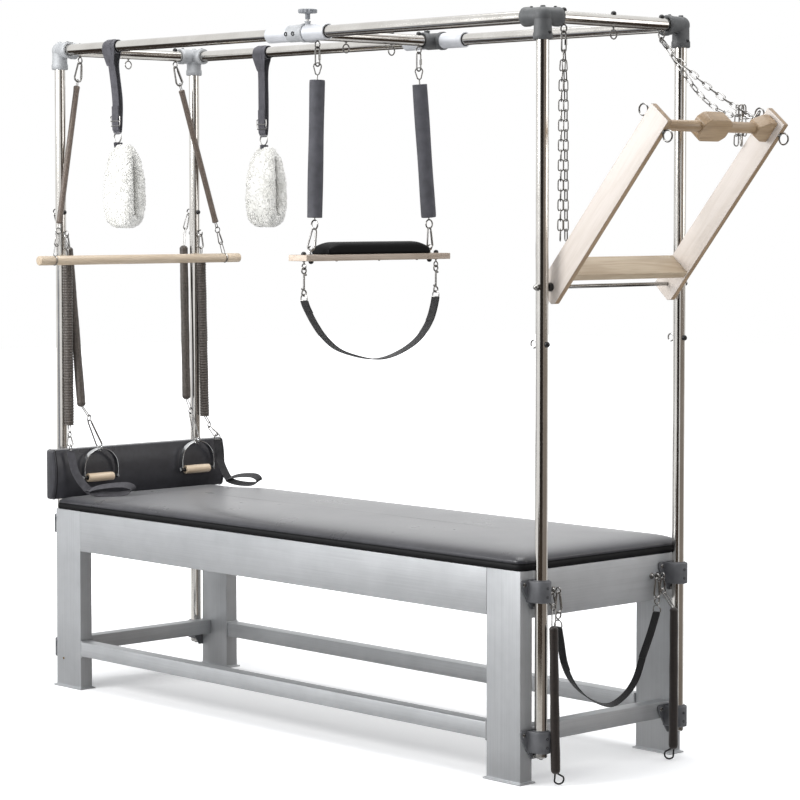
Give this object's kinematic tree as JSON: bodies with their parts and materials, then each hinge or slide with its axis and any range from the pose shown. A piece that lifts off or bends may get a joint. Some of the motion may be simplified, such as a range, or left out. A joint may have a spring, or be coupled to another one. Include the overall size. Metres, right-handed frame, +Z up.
{
  "type": "pilates trapeze table",
  "caption": "Padded exercise table in an overhead tube frame with a sliding trapeze swing, a push-through bar, springs, slings and straps.",
  "frame": {"origin": "middle of the outer box, on the floor", "axes": "+X along the table towards the push-through bar, +Y across it, +Z up"},
  "size_m": [2.8526, 0.914, 2.314],
  "materials": {
    "maple": "clear lacquered",
    "vinyl": "soft upholstery vinyl",
    "aluminium": "satin",
    "polished_tube": "polished",
    "steel": "bright plated",
    "casting": "fine cast, dull",
    "spring_cover": "woven spring cover",
    "foam": "closed-cell foam",
    "fleece": "deep pile fleece",
    "strap": "woven webbing",
    "black_plastic": "moulded"
  },
  "bodies": {
    "root": {"end_frame_head": "aluminium", "end_frame_foot": "aluminium", "side_apron_front": "aluminium", "side_apron_back": "aluminium", "side_stretcher_front": "aluminium", "side_stretcher_back": "aluminium", "mattress": "vinyl", "headboard": "vinyl", "post_front_head": "polished_tube", "post_front_foot": "polished_tube", "post_back_head": "polished_tube", "post_back_foot": "polished_tube", "upper_bracket_front_head": "casting", "upper_bracket_front_foot": "casting", "upper_bracket_back_head": "casting", "upper_bracket_back_foot": "casting", "corner_fitting_front_head": "casting", "corner_fitting_front_foot": "casting", "corner_fitting_back_head": "casting", "corner_fitting_back_foot": "casting", "top_tube_front": "polished_tube", "top_tube_back": "polished_tube", "cross_tube_head": "polished_tube", "cross_tube_foot": "polished_tube", "pivot_rod": "steel", "chain_back": "steel"},
    "cross_carriage": {"cross_bar": "polished_tube", "carriage_front": "polished_tube", "carriage_back": "polished_tube"},
    "swing": {"swing_hanger_front": "foam", "swing_hanger_back": "foam", "swing_board": "maple"},
    "swing_sling": {"swing_strap": "strap"},
    "push_bar": {"push_arm_front": "maple", "push_arm_back": "maple", "push_handle": "maple", "step_board": "maple"},
    "hanging_chain": {"chain_front": "steel"},
    "roll_springs": {"roll_down_spring_front": "spring_cover", "roll_down_spring_back": "spring_cover"},
    "roll_bar": {"roll_down_dowel": "maple"},
    "end_sling": {"end_strap": "strap"},
    "knob_front": {"knob_front": "black_plastic"},
    "knob_back": {"knob_back": "black_plastic"},
    "arm_spring_front": {"arm_spring_front": "spring_cover"},
    "d_handle_front": {"d_handle_front": "steel"},
    "hand_grip_front": {"hand_grip_front": "maple"},
    "arm_spring_back": {"arm_spring_back": "spring_cover"},
    "d_handle_back": {"d_handle_back": "steel"},
    "hand_grip_back": {"hand_grip_back": "maple"},
    "leg_spring_front": {"leg_spring_front": "spring_cover"},
    "foot_strap_front": {"foot_strap_front": "strap"},
    "leg_spring_back": {"leg_spring_back": "spring_cover"},
    "foot_strap_back": {"foot_strap_back": "strap"},
    "sling_strap_front": {"sling_strap_front": "strap"},
    "sling_fleece_front": {"sling_fleece_front": "fleece"},
    "sling_strap_back": {"sling_strap_back": "strap"},
    "sling_fleece_back": {"sling_fleece_back": "fleece"},
    "end_spring_front": {"end_spring_front": "spring_cover"},
    "end_spring_back": {"end_spring_back": "spring_cover"}
  },
  "joints": [
    {"name": "carriage_slide", "type": "slide", "parent": "root", "child": "cross_carriage", "axis": [1, 0, 0], "range_m": [-0.3, 0.5]},
    {"name": "swing_swing", "type": "hinge", "parent": "cross_carriage", "child": "swing", "pos_m": [-0.09794, 0, 2.205], "axis": [0, 1, 0], "range_deg": [-25, 25]},
    {"name": "swing_strap_swing", "type": "hinge", "parent": "swing", "child": "swing_sling", "pos_m": [-0.09794, 0, 1.499], "axis": [0, 1, 0], "range_deg": [-30, 30]},
    {"name": "push_bar_swing", "type": "hinge", "parent": "root", "child": "push_bar", "pos_m": [0.97506, 0, 1.457], "axis": [0, 1, 0], "range_deg": [-32, 0], "deforming": ["chain_back"]},
    {"name": "chain_front_swing", "type": "hinge", "parent": "root", "child": "hanging_chain", "pos_m": [0.97506, -0.214, 2.205], "axis": [0, 1, 0], "range_deg": [-15, 15]},
    {"name": "roll_down_swing", "type": "hinge", "parent": "root", "child": "roll_springs", "pos_m": [-1.38094, 0, 2.205], "axis": [0, -1, 0], "range_deg": [0, 18]},
    {"name": "roll_down_pull", "type": "slide", "parent": "roll_springs", "child": "roll_bar", "axis": [0, 0, -1], "range_m": [0, 0.15], "stiffness_N_per_m": 120, "springref_m": -0.2, "deforming": ["roll_down_spring_front", "roll_down_spring_back"]},
    {"name": "knob_front_turn", "type": "hinge", "parent": "cross_carriage", "child": "knob_front", "pos_m": [-0.05494, -0.302, 2.29], "axis": [0, 0, 1], "continuous": true},
    {"name": "knob_back_turn", "type": "hinge", "parent": "cross_carriage", "child": "knob_back", "pos_m": [-0.14094, 0.302, 2.29], "axis": [0, 0, 1], "continuous": true},
    {"name": "arm_spring_front_swing", "type": "hinge", "parent": "root", "child": "arm_spring_front", "pos_m": [-1.41594, -0.302, 1.671], "axis": [0, -1, 0], "range_deg": [0, 10]},
    {"name": "d_handle_front_swing", "type": "hinge", "parent": "arm_spring_front", "child": "d_handle_front", "pos_m": [-1.29194, -0.202, 0.845], "axis": [0, -1, 0], "range_deg": [0, 60]},
    {"name": "hand_grip_front_turn", "type": "hinge", "parent": "d_handle_front", "child": "hand_grip_front", "pos_m": [-1.29194, -0.202, 0.733], "axis": [0, 1, 0], "continuous": true},
    {"name": "arm_spring_back_swing", "type": "hinge", "parent": "root", "child": "arm_spring_back", "pos_m": [-1.41594, 0.302, 1.671], "axis": [0, -1, 0], "range_deg": [0, 10]},
    {"name": "d_handle_back_swing", "type": "hinge", "parent": "arm_spring_back", "child": "d_handle_back", "pos_m": [-1.29194, 0.237, 0.845], "axis": [0, -1, 0], "range_deg": [0, 60]},
    {"name": "hand_grip_back_turn", "type": "hinge", "parent": "d_handle_back", "child": "hand_grip_back", "pos_m": [-1.29194, 0.237, 0.733], "axis": [0, 1, 0], "continuous": true},
    {"name": "leg_spring_front_swing", "type": "hinge", "parent": "root", "child": "leg_spring_front", "pos_m": [-1.34594, -0.302, 1.5916], "axis": [-1, 0, 0], "range_deg": [0, 12]},
    {"name": "foot_strap_front_swing", "type": "hinge", "parent": "leg_spring_front", "child": "foot_strap_front", "pos_m": [-1.29094, -0.332, 0.85], "axis": [-0.7986, -0.6018, 0], "range_deg": [0, 20]},
    {"name": "leg_spring_back_swing", "type": "hinge", "parent": "root", "child": "leg_spring_back", "pos_m": [-1.34594, 0.302, 1.5916], "axis": [1, 0, 0], "range_deg": [0, 12]},
    {"name": "foot_strap_back_swing", "type": "hinge", "parent": "leg_spring_back", "child": "foot_strap_back", "pos_m": [-1.29094, 0.332, 0.85], "axis": [1, 0, 0], "range_deg": [0, 60]},
    {"name": "sling_front_slide", "type": "slide", "parent": "root", "child": "sling_strap_front", "axis": [1, 0, 0], "range_m": [-0.15, 0.25]},
    {"name": "sling_fleece_front_swing", "type": "hinge", "parent": "sling_strap_front", "child": "sling_fleece_front", "pos_m": [-1.04794, -0.302, 1.928], "axis": [0, 1, 0], "range_deg": [-25, 25]},
    {"name": "sling_back_slide", "type": "slide", "parent": "root", "child": "sling_strap_back", "axis": [1, 0, 0], "range_m": [-0.15, 0.25]},
    {"name": "sling_fleece_back_swing", "type": "hinge", "parent": "sling_strap_back", "child": "sling_fleece_back", "pos_m": [-0.98594, 0.302, 1.928], "axis": [0, 1, 0], "range_deg": [-25, 25]},
    {"name": "end_spring_front_swing", "type": "hinge", "parent": "root", "child": "end_spring_front", "pos_m": [0.96406, -0.243, 0.563], "axis": [0, -1, 0], "range_deg": [0, 40]},
    {"name": "end_spring_back_swing", "type": "hinge", "parent": "root", "child": "end_spring_back", "pos_m": [0.96406, 0.243, 0.563], "axis": [0, -1, 0], "range_deg": [0, 40]},
    {"name": "end_strap_swing", "type": "hinge", "parent": "root", "child": "end_sling", "pos_m": [0.96406, 0, 0.563], "axis": [0, -1, 0], "range_deg": [0, 70]}
  ]
}
